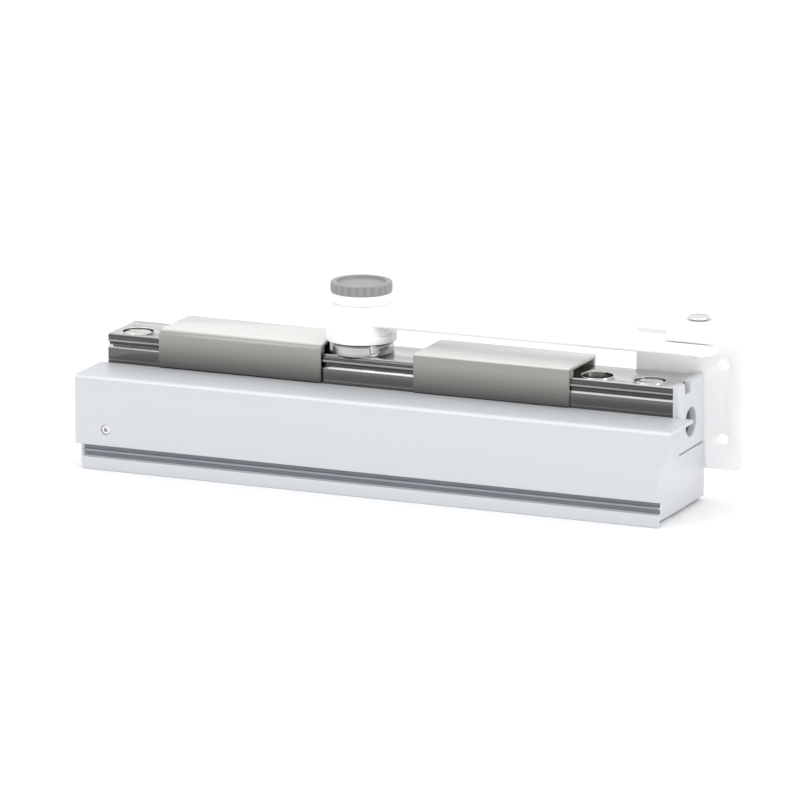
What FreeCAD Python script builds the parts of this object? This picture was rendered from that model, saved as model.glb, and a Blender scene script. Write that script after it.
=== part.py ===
import FreeCAD, Part
import math
import os

# Surface-mounted rack-and-pinion door closer with a side arm and slide block.
#
# Lengths are millimetres. X runs along the closer from its middle, Y points into
# the door from the mounting face (the closer lies at negative Y) and Z is height
# above the underside. Every piece is moved down by FIX_Z when it is written, so
# the stored origin is the centre of the four fixing holes on the mounting face.

V = FreeCAD.Vector

# Driving dimensions
LENGTH = 300.0          # front cover, left end to right end at its foot
WALL_Y = -65.0          # front plane of the cover, measured from the door
BODY_HEIGHT = 60.0
FIX_Z = 15.0            # height of the fixing pattern's centre

# Mounting plate
PLATE_T = 3.0
PLATE_HALF = 144.0
PLATE_SCREW_X = 70.0
PLATE_SCREW_R = 2.5
PLATE_SCREW_HEAD_R = 5.0
PLATE_SCREW_DEPTH = 16.0
PLATE_SCREW_SOCKET = (3.0, 2.3)     # width across flats and depth
EAR_CORNER_R = 3.0
EAR_X = (114.0, 168.0)
EAR_Z = (15.0, 80.0)
EAR_HOLE_X = 158.0
EAR_HOLE_Z = 47.5
EAR_HOLE_GAP = 36.0
EAR_HOLE_R = 2.75

# Fixing screws' holes, right through the body and the plate
FIX_DX = 220.0
FIX_DZ = 12.0
FIX_R = 3.25
FIX_HEAD_R = 5.75
FIX_HEAD_DEPTH = 7.0

# Body
BODY_X = (-146.6, 145.0)
BODY_FRONT = -35.0      # upper part's front face
CHEST_FRONT = -60.0
CHEST_X = (-143.0, 143.0)
CHEST_Z = (2.2, 43.0)
CHEST_POCKETS = (-90.0, -55.0, -20.0, 15.0, 50.0)
CHEST_POCKET_WIDTH = 28.0
CHEST_POCKET_Z = (8.0, 37.0)
CHEST_POCKET_WALL = 4.0     # left between a pocket's floor and the upper part
CHEST_POCKET_CORNER_R = 5.0
CHEST_CORNER_R = 2.0
# Grooves along the upper front face: top, foot, depth, and drop of the ledge below
BODY_GROOVES = [(58.2, 57.6, 0.5, 0.2), (56.3, 54.6, 1.6, 1.4), (47.6, 47.1, 0.4, 0.2)]

# Cylinder bore and piston
BORE_Y = -20.0
BORE_Z = 41.0
BORE_R = 12.0
BORE_X = (-142.0, 145.0)
RUN = 0.05              # radial clearance of a running fit
PISTON_X = (-92.0, 12.0)
PISTON_SPRING_SPIGOT = 10.0
PISTON_HOLLOW = (7.0, 30.0)     # radius and depth
RING_R = 10.2
RING_WIDTH = 3.0
WINDOW_X = (-44.0, -11.0)
OIL_WAY_R = 2.0
CHECK_SEAT = (8.0, 3.2, 1.5)    # length, ball chamber's radius and oil way's radius
CHECK_BALL_R = 2.6

# Pinion and rack
SPINDLE_X = -20.0
TEETH = 9
MODULE = 1.25
PRESSURE = math.radians(25.0)
PINION_ADD = 1.0
RACK_ADD = 0.95
TOOTH_ROOM = 0.2
BACKLASH = 0.07
PINION_Z = (31.0, 51.0)
RACK_Z = (32.2, 49.8)
PITCH_R = MODULE * TEETH / 2

# Spindle stack, from the underside upwards
SHAFT_R = 5.95
SHAFT_Z = (23.6, 66.0)
SQUARE = 9.0
SQUARE_TOP = 83.0
BUSH_R = 12.0
SPINDLE_WELL_R = 7.5    # bore in the body between the two bushes
UPPER_BUSH_Z = (53.4, 58.0)
LOWER_BUSH_Z = (23.6, 28.6)
NUT_R = 15.5
NUT_Z = (60.0, 65.0)
NUT_KEYWAYS = 4
KEYWAY_R = 1.8
SEAL_R = 9.0
SEAL_T = 3.0
PLUG_FOOT = 0.4
PLUG_KEY = (1.5, 4.0)   # radius and depth of the lower plug's key holes
PLUG_KEY_OFFSET = 7.0
HUB_Z = (66.0, 84.0)
HUB_R = 14.8
HUB_FLANGE_R = 17.0
HUB_FLANGE_T = 3.2
SCREW_HEAD_R = 7.5
SCREW_HEAD_T = 3.4
ARM_SCREW_R = 2.5
ARM_SCREW_REACH = 12.0      # below the top of the square
ARM_SCREW_SOCKET = (4.0, 2.4)       # width across flats and depth
CAP_Z = (84.0, 89.0)
FLUTED_Z = (89.0, 94.0)
FLUTES = 24
FLUTE_R = 1.3
FLUTE_CENTRE_R = HUB_R + 0.5
DISH = (11.6, 1.4)      # radius and depth of the knob's hollow top

# Arm
ARM_LENGTH = 172.0
ARM_Z = (74.0, 80.0)
ARM_ROOT_HALF = 11.0
ARM_END_R = 9.0
SLIDE_PIN_R = 4.0
RIVET_R = 3.2
SLIDE_BLOCK = (30.0, 14.0, 10.0)

# Spring and its adjuster
SPRING_WIRE_R = 1.6
SPRING_R = 9.0
SPRING_PITCH = 6.0
SPRING_X = (12.0, 108.0)
SPIGOT_R = SPRING_R - SPRING_WIRE_R - 0.3
SEAT_X = (108.0, 116.0)
SEAT_SPIGOT = 6.0
ADJUSTER_R = 3.5
ADJUSTER_COLLAR_R = 6.0
ADJUSTER_X = (100.0, 143.0)
ADJUSTER_SOCKET = (4.0, 6.0)        # width across flats and depth
END_PLUG_X = (135.0, 145.0)
END_PLUG_MOUTH = (6.5, 4.0)         # radius and depth
KEY_PIN = (1.25, 3.0)               # radius and depth of the end plug's key holes
KEY_PIN_OFFSET = 9.0

# Ports in the body's top, with their regulating valves
PORT_Y = -24.5
PORT_R = 7.75
PORT_DEPTH = 3.4
DEEP_PORT_DEPTH = 5.2
CLOSING_X = -135.5
BACKCHECK_X = 103.0
LATCHING_X = 129.5
VALVE_R = 3.5
VALVE_TIP_Z = 53.4
PORT_SCREW = (6.6, 1.4)         # head's radius and slot's width in the shallow ports
DEEP_PORT_SCREW = (3.0, 1.0)

# Sleeves on the body
LEFT_SLEEVE_X = (-119.0, -34.0)
RIGHT_SLEEVE_X = (14.0, 93.5)
SLEEVE_TOP = 65.0
SLEEVE_FRONT = -37.0
SLEEVE_FOOT = 46.4
SLEEVE_WALL = 2.0
SLEEVE_CELL = 15.0
LEFT_SLEEVE_ROUND = 4.5     # radius along each sleeve's top front edge
RIGHT_SLEEVE_ROUND = 0.9
NUT_ROOM = 0.7           # clearance of the left sleeve round the bearing nut

# End caps and front cover
END_CAP_X = (145.0, 148.5)
END_CAP_FOOT = 28.0
ACCESS_R = 7.0
END_SLOT_Y = (-27.7, -20.2)
END_SLOT_FOOT = 55.5
COVER_T = 1.6
COVER_TOP = 46.0
COVER_BACK = -35.4
COVER_LEFT = -150.0
COVER_RIGHT = 155.5
COVER_LIP_LEFT = -146.4
COVER_NOTCH_Z = (28.0, 34.0)    # slanted cut at the right end, from the foot's end outwards
COVER_CLIP_X = (-95.0, 55.0)
COVER_CLIP_WIDTH = 20.0
COVER_CLIP_T = 0.8
RECESS_Z = (6.0, 12.0)
RECESS_DEPTH = 2.5
COVER_RIB_Z = (8.5, 9.6)
COVER_SCREW = (-134.0, 20.0)
COVER_SCREW_R = 2.0
COVER_SCREW_DEPTH = 12.0
COVER_SCREW_SOCKET = (2.0, 2.5)     # width across flats and depth
COVER_BACK_FOOT = -48.0
LEFT_END_X = (-149.0, -146.8)
RIGHT_END_X = (145.2, 149.0)


def box(x, y, z):
    """A block between pairs of limits."""
    return Part.makeBox(x[1] - x[0], y[1] - y[0], z[1] - z[0], V(x[0], y[0], z[0]))


def rod_x(r, x, y, z):
    return Part.makeCylinder(r, x[1] - x[0], V(x[0], y, z), V(1, 0, 0))


def rod_y(r, x, y, z):
    return Part.makeCylinder(r, y[1] - y[0], V(x, y[0], z), V(0, 1, 0))


def rod_z(r, x, y, z):
    return Part.makeCylinder(r, z[1] - z[0], V(x, y, z[0]), V(0, 0, 1))


def spindle_rod(r, z):
    """A disc or shaft on the spindle's axis."""
    return rod_z(r, SPINDLE_X, BORE_Y, z)


def prism(points, along):
    """A closed outline carried along a vector."""
    wire = Part.makePolygon([V(*p) for p in points] + [V(*points[0])])
    return Part.Face(wire).extrude(V(*along))


def hexagon(across):
    """Corner offsets of a regular hexagon, given its width across flats."""
    r = across / math.sqrt(3)
    return [(r * math.cos(math.radians(60 * k)), r * math.sin(math.radians(60 * k))) for k in range(6)]


def hexagon_x(across, x, y, z):
    return prism([(x[0], y + a, z + b) for a, b in hexagon(across)], (x[1] - x[0], 0, 0))


def hexagon_y(across, x, y, z):
    return prism([(x + a, y[0], z + b) for a, b in hexagon(across)], (0, y[1] - y[0], 0))


def hexagon_z(across, x, y, z):
    return prism([(x + a, y + b, z[0]) for a, b in hexagon(across)], (0, 0, z[1] - z[0]))


def ends_of(shape, radius):
    """Circular edges of at least a radius."""
    return [e for e in shape.Edges if isinstance(e.Curve, Part.Circle) and e.Curve.Radius > radius - 0.1]


def edges_where(shape, test):
    """Straight edges whose middle passes a test."""
    found = []
    for edge in shape.Edges:
        if isinstance(edge.Curve, Part.Line):
            middle = edge.valueAt((edge.FirstParameter + edge.LastParameter) / 2)
            if test(middle, edge):
                found.append(edge)
    return found


def write(name, shape):
    """Checks a node's solids and writes its STEP file in the row frame."""
    shape = shape.removeSplitter()
    assert shape.isValid() and shape.Volume > 0, name
    assert all(s.isClosed() for s in shape.Solids), name
    shape = shape.copy()
    shape.translate(V(0, 0, -FIX_Z))
    shape.exportStep("parts/" + name + ".step")
    print(name, len(shape.Solids), round(shape.Volume), sep="\t")


def fixing_points():
    """X and Z of the four fixing holes."""
    return [(sx * FIX_DX / 2, FIX_Z + sz * FIX_DZ / 2) for sx in (-1, 1) for sz in (-1, 1)]


def plate_screw_points():
    """X and Z of the screws that hold the plate to the body."""
    return [(side * PLATE_SCREW_X, FIX_Z) for side in (-1, 1)]


def plate_screw(x, z):
    """A countersunk screw entered from the back of the plate, flush with its face."""
    sink = PLATE_SCREW_HEAD_R - PLATE_SCREW_R
    head = Part.makeCone(PLATE_SCREW_R, PLATE_SCREW_HEAD_R, sink, V(x, -sink, z), V(0, 1, 0))
    return head.fuse(rod_y(PLATE_SCREW_R, x, (-PLATE_SCREW_DEPTH, -sink), z))


def mounting_plate():
    plate = box((-PLATE_HALF, PLATE_HALF), (-PLATE_T, 0), (0, BODY_HEIGHT - 1))
    ear = box(EAR_X, (-PLATE_T, 0), EAR_Z)
    corners = edges_where(ear, lambda m, e: m.x > EAR_X[1] - 1 and abs(m.y + PLATE_T / 2) < 0.1)
    shape = plate.fuse(ear.makeFillet(EAR_CORNER_R, corners)).removeSplitter()
    for x, z in fixing_points():
        shape = shape.cut(rod_y(FIX_R, x, (-PLATE_T, 0), z))
    for side in (-1, 1):
        z = EAR_HOLE_Z + side * EAR_HOLE_GAP / 2
        shape = shape.cut(rod_y(EAR_HOLE_R, EAR_HOLE_X, (-PLATE_T, 0), z))
    for x, z in plate_screw_points():
        shape = shape.cut(plate_screw(x, z))
    return shape


def plate_screws():
    across, depth = PLATE_SCREW_SOCKET
    shapes = []
    for x, z in plate_screw_points():
        shapes.append(plate_screw(x, z).cut(hexagon_y(across, x, (-depth, 0), z)))
    return Part.makeCompound(shapes)


def body_outline():
    """Upper body's outline at one end, with the grooves of its front face."""
    front, back, top = BODY_FRONT, -PLATE_T, BODY_HEIGHT
    back_bevel, front_bevel, slope = 1.5, 1.2, 0.2
    outline = [(back, 0), (back, top - back_bevel), (back - back_bevel, top)]
    outline += [(front + front_bevel, top), (front, top - front_bevel)]
    for high, low, depth, ledge in BODY_GROOVES:
        outline += [(front, high), (front + depth, high - slope), (front + depth, low), (front, low - ledge)]
    outline.append((front, 0))
    return outline


def closer_body():
    points = [(BODY_X[0], y, z) for y, z in body_outline()]
    shape = prism(points, (BODY_X[1] - BODY_X[0], 0, 0))
    chest = box(CHEST_X, (CHEST_FRONT, BODY_FRONT), CHEST_Z)
    corners = edges_where(chest, lambda m, e: m.y < CHEST_FRONT + 1 and e.Length > 100)
    shape = shape.fuse(chest.makeFillet(CHEST_CORNER_R, corners)).removeSplitter()
    pocket_depth = BODY_FRONT + CHEST_POCKET_WALL - CHEST_FRONT
    for x in CHEST_POCKETS:
        pocket = box((x, x + CHEST_POCKET_WIDTH), (CHEST_FRONT, CHEST_FRONT + pocket_depth), CHEST_POCKET_Z)
        upright = edges_where(pocket, lambda m, e: abs(e.Length - pocket_depth) < 0.1)
        shape = shape.cut(pocket.makeFillet(CHEST_POCKET_CORNER_R, upright))
    shape = shape.cut(rod_x(BORE_R, BORE_X, BORE_Y, BORE_Z))
    shape = shape.cut(spindle_rod(SPINDLE_WELL_R, (LOWER_BUSH_Z[1] - 1, UPPER_BUSH_Z[0] + 1)))
    shape = shape.cut(spindle_rod(BUSH_R, (UPPER_BUSH_Z[0], BODY_HEIGHT)))
    shape = shape.cut(spindle_rod(BUSH_R, (0, LOWER_BUSH_Z[1])))
    for x, z in fixing_points():
        shape = shape.cut(rod_y(FIX_R, x, (CHEST_FRONT, 0), z))
        shape = shape.cut(rod_y(FIX_HEAD_R, x, (CHEST_FRONT, CHEST_FRONT + FIX_HEAD_DEPTH), z))
    for x, z in plate_screw_points():
        shape = shape.cut(rod_y(PLATE_SCREW_R, x, (-PLATE_SCREW_DEPTH, 0), z))
    for x, depth in ((CLOSING_X, PORT_DEPTH), (BACKCHECK_X, DEEP_PORT_DEPTH), (LATCHING_X, PORT_DEPTH)):
        shape = shape.cut(rod_z(PORT_R, x, PORT_Y, (BODY_HEIGHT - depth, BODY_HEIGHT)))
        shape = shape.cut(rod_z(VALVE_R, x, PORT_Y, (BORE_Z, BODY_HEIGHT)))
    screw_x, screw_z = COVER_SCREW
    tapped_y = (CHEST_FRONT, CHEST_FRONT + COVER_SCREW_DEPTH + 2)
    return shape.cut(rod_y(COVER_SCREW_R, screw_x, tapped_y, screw_z))


def sleeve(x, round_r):
    """A moulded clip-on sleeve over the body's top, webbed underneath and open at both ends."""
    outer = box(x, (SLEEVE_FRONT, -PLATE_T), (SLEEVE_FOOT, SLEEVE_TOP))
    length = x[1] - x[0]
    front_top = edges_where(outer, lambda m, e: m.y < SLEEVE_FRONT + 0.1 and m.z > SLEEVE_TOP - 0.1)
    outer = outer.makeFillet(round_r, front_top)
    outer = outer.cut(box(x, (BODY_FRONT, 0), (0, BODY_HEIGHT)))
    cells = int(length / SLEEVE_CELL)
    pitch = (length + SLEEVE_WALL) / cells
    for k in range(cells):
        start = x[0] + k * pitch
        cell = (start, start + pitch - SLEEVE_WALL)
        outer = outer.cut(box(cell, (BODY_FRONT + 4, -PLATE_T - 3), (BODY_HEIGHT, SLEEVE_TOP - SLEEVE_WALL)))
    return outer.cut(spindle_rod(NUT_R + NUT_ROOM, (BODY_HEIGHT, SLEEVE_TOP)))


def right_end_cap():
    shape = box(END_CAP_X, (BODY_FRONT, -PLATE_T), (END_CAP_FOOT, BODY_HEIGHT + 1))
    rim = edges_where(shape, lambda m, e: m.x > END_CAP_X[1] - 0.1)
    shape = shape.makeFillet(1.0, rim)
    shape = shape.cut(rod_x(ACCESS_R, END_CAP_X, BORE_Y, BORE_Z))
    return shape.cut(box(END_CAP_X, END_SLOT_Y, (END_SLOT_FOOT, BODY_HEIGHT + 1)))


def end_plug():
    """Threaded plug that closes the cylinder and guides the adjuster."""
    face = END_PLUG_X[1]
    shape = rod_x(BORE_R, END_PLUG_X, BORE_Y, BORE_Z)
    mouth_r, mouth_depth = END_PLUG_MOUTH
    shape = shape.cut(rod_x(mouth_r, (face - mouth_depth, face), BORE_Y, BORE_Z))
    shape = shape.cut(rod_x(ADJUSTER_R + RUN, END_PLUG_X, BORE_Y, BORE_Z))
    pin_r, pin_depth = KEY_PIN
    for dy in (-KEY_PIN_OFFSET, KEY_PIN_OFFSET):
        shape = shape.cut(rod_x(pin_r, (face - pin_depth, face), BORE_Y + dy, BORE_Z))
    return shape


def spring_adjuster():
    shape = rod_x(ADJUSTER_R, ADJUSTER_X, BORE_Y, BORE_Z)
    collar = rod_x(ADJUSTER_COLLAR_R, (END_PLUG_X[0] - 3, END_PLUG_X[0] - 0.1), BORE_Y, BORE_Z)
    across, depth = ADJUSTER_SOCKET
    socket = hexagon_x(across, (ADJUSTER_X[1] - depth, ADJUSTER_X[1]), BORE_Y, BORE_Z)
    return shape.fuse(collar).cut(socket)


def spring_seat():
    spigot_x = (SEAT_X[0] - SEAT_SPIGOT, SEAT_X[0])
    seat = rod_x(BORE_R - RUN, SEAT_X, BORE_Y, BORE_Z).fuse(rod_x(SPIGOT_R, spigot_x, BORE_Y, BORE_Z))
    return seat.cut(rod_x(ADJUSTER_R + RUN, (spigot_x[0], SEAT_X[1]), BORE_Y, BORE_Z))


def main_spring():
    end_gap = SPRING_WIRE_R + 0.2
    turns_length = SPRING_X[1] - SPRING_X[0] - 2 * end_gap
    helix = Part.makeHelix(SPRING_PITCH, turns_length, SPRING_R)
    slope = SPRING_PITCH / (2 * math.pi * SPRING_R)
    circle = Part.Wire([Part.makeCircle(SPRING_WIRE_R, V(SPRING_R, 0, 0), V(0, 1, slope))])
    spring = Part.Wire(helix.Edges).makePipeShell([circle], True, True)
    spring.rotate(V(0, 0, 0), V(0, 1, 0), 90)
    spring.translate(V(SPRING_X[0] + end_gap, BORE_Y, BORE_Z))
    return spring


def rack_teeth():
    """Trapezoidal teeth on the rear wall of the piston's window."""
    pitch = math.pi * MODULE
    pitch_y = BORE_Y + PITCH_R
    root_y = pitch_y + PINION_ADD + TOOTH_ROOM
    tip_y = pitch_y - RACK_ADD
    shapes = []
    count = int((WINDOW_X[1] - WINDOW_X[0]) / pitch) + 2
    for k in range(-count, count):
        x = SPINDLE_X + (k + 0.5) * pitch
        if x < WINDOW_X[0] + pitch / 2 or x > WINDOW_X[1] - pitch / 2:
            continue
        half = pitch / 4 - BACKLASH
        root_half = half + (root_y - pitch_y) * math.tan(PRESSURE)
        tip_half = half - RACK_ADD * math.tan(PRESSURE)
        points = [(x - root_half, root_y + 0.5, RACK_Z[0]), (x - root_half, root_y, RACK_Z[0])]
        points += [(x - tip_half, tip_y, RACK_Z[0]), (x + tip_half, tip_y, RACK_Z[0])]
        points += [(x + root_half, root_y, RACK_Z[0]), (x + root_half, root_y + 0.5, RACK_Z[0])]
        shapes.append(prism(points, (0, 0, RACK_Z[1] - RACK_Z[0])))
    return shapes


def ring_grooves():
    """X limits of each ring groove in the piston."""
    starts = [PISTON_X[0] + 6.0, PISTON_X[0] + 14.0, PISTON_X[1] - 9.0]
    return [(x, x + RING_WIDTH) for x in starts]


def piston():
    shape = rod_x(BORE_R - RUN, PISTON_X, BORE_Y, BORE_Z)
    rear = BORE_Y + PITCH_R + PINION_ADD + TOOTH_ROOM
    front = BORE_Y - PITCH_R - 2.1
    window = box(WINDOW_X, (front, rear), (BORE_Z - 2 * BORE_R, BORE_Z + 2 * BORE_R))
    shape = shape.cut(window).fuse(rack_teeth()).removeSplitter()
    for x in ring_grooves():
        shape = shape.cut(rod_x(BORE_R, x, BORE_Y, BORE_Z).cut(rod_x(RING_R, x, BORE_Y, BORE_Z)))
    radius, depth = PISTON_HOLLOW
    hollow = rod_x(radius, (PISTON_X[0], PISTON_X[0] + depth), BORE_Y, BORE_Z)
    oil_way = rod_x(OIL_WAY_R, (PISTON_X[0], WINDOW_X[0] + 5), BORE_Y, BORE_Z)
    spigot = rod_x(SPIGOT_R, (PISTON_X[1], PISTON_X[1] + PISTON_SPRING_SPIGOT), BORE_Y, BORE_Z)
    return shape.cut(hollow).cut(oil_way).fuse(spigot)


def piston_rings():
    shapes = []
    for x in ring_grooves():
        outer = rod_x(BORE_R - 0.02, (x[0] + 0.1, x[1] - 0.1), BORE_Y, BORE_Z)
        shapes.append(outer.cut(rod_x(RING_R, x, BORE_Y, BORE_Z)))
    return Part.makeCompound(shapes)


def check_valve():
    """Screwed-in seat with a captive ball at the foot of the piston's hollow."""
    radius, depth = PISTON_HOLLOW
    foot = PISTON_X[0] + depth
    length, chamber_r, way_r = CHECK_SEAT
    body = rod_x(radius, (foot - length, foot), BORE_Y, BORE_Z)
    body = body.cut(rod_x(chamber_r, (foot - length + 2, foot), BORE_Y, BORE_Z))
    body = body.cut(rod_x(way_r, (foot - length, foot), BORE_Y, BORE_Z))
    ball = Part.makeSphere(CHECK_BALL_R, V(foot - CHECK_BALL_R - 0.4, BORE_Y, BORE_Z))
    return Part.makeCompound([body, ball])


def pinion():
    """Involute teeth round the spindle, one of them pointing along +Y."""
    base_r = PITCH_R * math.cos(PRESSURE)
    tip_r = PITCH_R + PINION_ADD
    root_r = PITCH_R - RACK_ADD - TOOTH_ROOM
    half_pitch = math.pi / (2 * TEETH) - BACKLASH / PITCH_R
    at_pitch = math.tan(PRESSURE) - PRESSURE
    flank = []
    steps = 6
    for k in range(steps + 1):
        r = base_r + (tip_r - base_r) * k / steps
        pressure = math.acos(base_r / r)
        flank.append((r, half_pitch + at_pitch - (math.tan(pressure) - pressure)))
    flank.insert(0, (root_r - 0.4, flank[0][1]))
    shape = spindle_rod(root_r, PINION_Z)
    for tooth in range(TEETH):
        middle = math.pi / 2 + 2 * math.pi * tooth / TEETH
        outline = [(r, middle - a) for r, a in flank] + [(r, middle + a) for r, a in reversed(flank)]
        points = []
        for r, a in outline:
            points.append((SPINDLE_X + r * math.cos(a), BORE_Y + r * math.sin(a), PINION_Z[0]))
        shape = shape.fuse(prism(points, (0, 0, PINION_Z[1] - PINION_Z[0])))
    return shape


def spindle_square(z):
    half = SQUARE / 2
    return box((SPINDLE_X - half, SPINDLE_X + half), (BORE_Y - half, BORE_Y + half), z)


def spindle():
    lower = spindle_rod(SHAFT_R, (SHAFT_Z[0], PINION_Z[0]))
    upper = spindle_rod(SHAFT_R, (PINION_Z[1], SHAFT_Z[1]))
    square = spindle_square((SHAFT_Z[1], SQUARE_TOP))
    shape = lower.fuse([pinion(), upper, square]).removeSplitter()
    return shape.cut(spindle_rod(ARM_SCREW_R, (SQUARE_TOP - ARM_SCREW_REACH - 2, SQUARE_TOP)))


def bush(z):
    ring = spindle_rod(BUSH_R, z).cut(spindle_rod(SHAFT_R + RUN, z))
    return ring.makeChamfer(0.4, ends_of(ring, BUSH_R))


def bearing_nut():
    """Flanged nut that holds the upper bush and the spindle seal."""
    shape = spindle_rod(NUT_R, NUT_Z).fuse(spindle_rod(BUSH_R, (UPPER_BUSH_Z[1], NUT_Z[0])))
    top_rim = [e for e in ends_of(shape, NUT_R) if e.Vertexes[0].Z > NUT_Z[1] - 0.1]
    shape = shape.makeChamfer(0.8, top_rim)
    for k in range(NUT_KEYWAYS):
        a = math.radians(45 + 360 / NUT_KEYWAYS * k)
        x, y = SPINDLE_X + NUT_R * math.cos(a), BORE_Y + NUT_R * math.sin(a)
        shape = shape.cut(rod_z(KEYWAY_R, x, y, (NUT_Z[0] + 1.2, NUT_Z[1])))
    shape = shape.cut(spindle_rod(SEAL_R, (NUT_Z[1] - SEAL_T - 0.4, NUT_Z[1])))
    return shape.cut(spindle_rod(SHAFT_R + 0.35, (UPPER_BUSH_Z[1], NUT_Z[1])))


def spindle_seal():
    z = (NUT_Z[1] - SEAL_T - 0.4, NUT_Z[1] - 0.4)
    return spindle_rod(SEAL_R, z).cut(spindle_rod(SHAFT_R + RUN, z))


def lower_plug():
    """Threaded plug under the spindle, turned by a two-pin key."""
    z = (PLUG_FOOT, LOWER_BUSH_Z[0] - 0.1)
    shape = spindle_rod(BUSH_R, z)
    pin_r, pin_depth = PLUG_KEY
    for dx in (-PLUG_KEY_OFFSET, PLUG_KEY_OFFSET):
        shape = shape.cut(rod_z(pin_r, SPINDLE_X + dx, BORE_Y, (z[0], z[0] + pin_depth)))
    return shape


def valve(x, depth, head_r, slot):
    """A regulating screw standing in one of the ports in the body's top."""
    floor_z = BODY_HEIGHT - depth
    headed = head_r > VALVE_R
    head_z = (floor_z + 0.1, BODY_HEIGHT - 0.4 if headed else floor_z + 2.0)
    shape = rod_z(VALVE_R - RUN, x, PORT_Y, (VALVE_TIP_Z, head_z[0] if headed else head_z[1]))
    if headed:
        head = rod_z(head_r, x, PORT_Y, head_z)
        rims = [e for e in ends_of(head, head_r) if e.Vertexes[0].Z > head_z[1] - 0.1]
        shape = shape.fuse(head.makeFillet(0.6, rims))
    half = slot / 2
    across = (x - PORT_R, x + PORT_R)
    return shape.cut(box(across, (PORT_Y - half, PORT_Y + half), (head_z[1] - 1.0, head_z[1])))


def arm():
    """Tapering bar with a flanged hub on the spindle's square."""
    hub = spindle_rod(HUB_R, HUB_Z).fuse(spindle_rod(HUB_FLANGE_R, (HUB_Z[0], HUB_Z[0] + HUB_FLANGE_T)))
    end_x = SPINDLE_X + ARM_LENGTH
    points = [(SPINDLE_X, BORE_Y - ARM_ROOT_HALF), (end_x, BORE_Y - ARM_END_R)]
    points += [(end_x, BORE_Y + ARM_END_R), (SPINDLE_X, BORE_Y + ARM_ROOT_HALF)]
    bar = prism([(x, y, ARM_Z[0]) for x, y in points], (0, 0, ARM_Z[1] - ARM_Z[0]))
    bar = bar.fuse(rod_z(ARM_END_R, end_x, BORE_Y, ARM_Z)).removeSplitter()
    long_edges = edges_where(bar, lambda m, e: e.Length > 100)
    shape = hub.fuse(bar.makeFillet(1.6, long_edges)).removeSplitter()
    return shape.cut(spindle_square(HUB_Z)).cut(rod_z(RIVET_R, end_x, BORE_Y, ARM_Z))


def arm_screw():
    shank = spindle_rod(ARM_SCREW_R, (SQUARE_TOP - ARM_SCREW_REACH, HUB_Z[1]))
    head_top = HUB_Z[1] + SCREW_HEAD_T
    head = spindle_rod(SCREW_HEAD_R, (HUB_Z[1], head_top))
    across, depth = ARM_SCREW_SOCKET
    socket = hexagon_z(across, SPINDLE_X, BORE_Y, (head_top - depth, head_top))
    return shank.fuse(head).removeSplitter().cut(socket)


def hub_cap():
    """Pale shell that covers the arm screw."""
    shape = spindle_rod(HUB_R, CAP_Z).cut(spindle_rod(SCREW_HEAD_R + 1, (CAP_Z[0], CAP_Z[1] - 1.4)))
    return shape.makeChamfer(0.4, ends_of(shape, HUB_R))


def hub_knob():
    """Fluted ring pressed on the hub cap, with a dished top."""
    shape = spindle_rod(HUB_R, FLUTED_Z)
    for k in range(FLUTES):
        a = 2 * math.pi * k / FLUTES
        x, y = SPINDLE_X + FLUTE_CENTRE_R * math.cos(a), BORE_Y + FLUTE_CENTRE_R * math.sin(a)
        shape = shape.cut(rod_z(FLUTE_R, x, y, (FLUTED_Z[0], FLUTED_Z[1] - 1.0)))
    dish_r, dish_depth = DISH
    return shape.cut(spindle_rod(dish_r, (FLUTED_Z[1] - dish_depth, FLUTED_Z[1])))


def slide_pin():
    """Riveted pin at the arm's end that carries the slide block."""
    end_x = SPINDLE_X + ARM_LENGTH
    top = ARM_Z[1] + SLIDE_BLOCK[2]
    rivet = rod_z(RIVET_R, end_x, BORE_Y, ARM_Z)
    shank = rod_z(SLIDE_PIN_R, end_x, BORE_Y, (ARM_Z[1], top + 1.0))
    head = rod_z(SLIDE_PIN_R + 1.4, end_x, BORE_Y, (top + 1.0, top + 2.0))
    foot = rod_z(SLIDE_PIN_R + 1.0, end_x, BORE_Y, (ARM_Z[0] - 1.0, ARM_Z[0]))
    return rivet.fuse([shank, head, foot]).removeSplitter()


def slide_block():
    length, width, height = SLIDE_BLOCK
    end_x = SPINDLE_X + ARM_LENGTH
    x = (end_x - length / 2, end_x + length / 2)
    y = (BORE_Y - width / 2, BORE_Y + width / 2)
    z = (ARM_Z[1] + 0.4, ARM_Z[1] + 0.4 + height)
    block = box(x, y, z)
    block = block.makeFillet(4.0, edges_where(block, lambda m, e: abs(e.Length - height) < 0.1))
    return block.cut(rod_z(SLIDE_PIN_R + RUN, end_x, BORE_Y, z))


def cover_outline(inset):
    """Front cover's outline from its back edge round to its foot, moved inwards by inset."""
    front, deep = WALL_Y + inset, WALL_Y + RECESS_DEPTH + inset
    low, high = RECESS_Z
    outline = [(COVER_BACK, COVER_TOP - inset), (front, COVER_TOP - inset), (front, high + inset)]
    outline += [(deep, high + inset), (deep, low - inset), (front, low - inset), (front, inset)]
    return outline


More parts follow.
